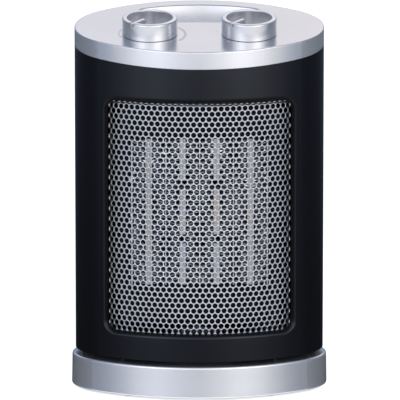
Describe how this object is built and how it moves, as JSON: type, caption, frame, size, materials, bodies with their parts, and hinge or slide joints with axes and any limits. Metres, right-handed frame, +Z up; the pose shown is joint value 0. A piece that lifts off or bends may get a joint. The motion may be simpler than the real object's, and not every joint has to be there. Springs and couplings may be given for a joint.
{
  "type": "ceramic space heater",
  "caption": "Table-top ceramic fan heater: oval black body with a perforated metal grille over a PTC element, sloping silver top with dial knobs, swivelling on a silver oval foot.",
  "frame": {"origin": "on the floor under the middle of the oval foot", "axes": "+Z up, the grille faces -Y, +X to the right as seen from the front"},
  "size_m": [0.1754, 0.1174, 0.2605],
  "materials": {
    "silver_plastic": "satin silver lacquer on moulded plastic",
    "knob_silver": "bright silver lacquer on moulded plastic",
    "black_plastic": "fine satin black moulding",
    "grille_steel": "perforated sheet, silver coated",
    "dark_plastic": "heat resistant black moulding",
    "ptc_ceramic": "grey-beige heating ceramic",
    "fin_aluminium": "folded aluminium fin",
    "strip_aluminium": "aluminium electrode strip",
    "steel": "zinc plated",
    "lamination": "stacked laminations",
    "copper": "enamelled copper winding",
    "brass": "plain brass",
    "rubber": "moulded rubber",
    "base_plastic": "grained black moulding",
    "white_plastic": "natural acetal",
    "fan_plastic": "black moulding",
    "wire": "silicone insulation"
  },
  "bodies": {
    "foot": {"base_shell": "silver_plastic", "base_plate": "base_plastic", "rubber_feet": "rubber", "base_screws": "steel", "cord_inlet": "dark_plastic", "tip_switch": "dark_plastic", "tip_spring": "steel", "glide_ring": "dark_plastic", "sector_gear": "white_plastic", "gear_screws": "steel", "retaining_ring": "steel", "retainer_screws": "steel"},
    "head": {"air_duct": "dark_plastic", "bottom_plate": "black_plastic", "bottom_screws": "steel", "control_screws": "steel", "duct_screws": "steel", "front_shell": "black_plastic", "gap_seal": "rubber", "grille": "grille_steel", "grille_frame": "dark_plastic", "mode_switch_body": "dark_plastic", "motor_bearings": "brass", "motor_coil": "copper", "motor_front_bracket": "steel", "motor_mount": "steel", "motor_rear_bracket": "steel", "motor_screws": "steel", "motor_stator": "lamination", "osc_motor": "steel", "osc_motor_screws": "steel", "ptc_fins": "fin_aluminium", "ptc_frame": "dark_plastic", "ptc_screws": "steel", "ptc_strips": "strip_aluminium", "ptc_tablets": "ptc_ceramic", "ptc_terminals": "brass", "rear_shell": "black_plastic", "shell_screws": "steel", "terminal_block": "dark_plastic", "thermal_cutout": "steel", "thermal_fuse": "white_plastic", "thermostat_body": "dark_plastic", "top_cover": "silver_plastic", "wire_harness": "wire"},
    "plunger": {"tip_plunger": "white_plastic"},
    "osc_drive": {"osc_shaft": "steel", "osc_pinion": "white_plastic"},
    "fan": {"fan_impeller": "fan_plastic", "motor_shaft": "steel", "motor_rotor": "lamination"},
    "thermostat_dial": {"thermostat_knob": "knob_silver", "thermostat_shaft": "steel"},
    "mode_dial": {"mode_knob": "knob_silver", "mode_shaft": "steel"}
  },
  "joints": [
    {"name": "head_swivel", "type": "hinge", "parent": "foot", "child": "head", "pos_m": [0, 0, 0.032], "axis": [0, 0, 1], "range_deg": [-30, 30]},
    {"name": "osc_drive_spin", "type": "hinge", "parent": "head", "child": "osc_drive", "pos_m": [0.0375, 0, 0.0255], "axis": [0, 0, 1], "range_deg": [-121, 121]},
    {"name": "fan_spin", "type": "hinge", "parent": "head", "child": "fan", "pos_m": [0, 0, 0.1225], "axis": [0, 1, 0], "continuous": true},
    {"name": "thermostat_turn", "type": "hinge", "parent": "head", "child": "thermostat_dial", "pos_m": [-0.0336, -0.01773, 0.24591], "axis": [0, -0.1719, 0.9851], "range_deg": [-270, 0]},
    {"name": "mode_turn", "type": "hinge", "parent": "head", "child": "mode_dial", "pos_m": [0.0336, -0.01773, 0.24591], "axis": [0, -0.1719, 0.9851], "range_deg": [-180, 0]},
    {"name": "tip_plunger_slide", "type": "slide", "parent": "foot", "child": "plunger", "axis": [0, 0, -1], "range_m": [0, 0.004], "stiffness_N_per_m": 120, "springref_m": 0.008, "deforming": ["tip_spring"]}
  ],
  "couplings": [
    {"joint": "osc_drive_spin", "follows": "head_swivel", "ratio": 4}
  ]
}
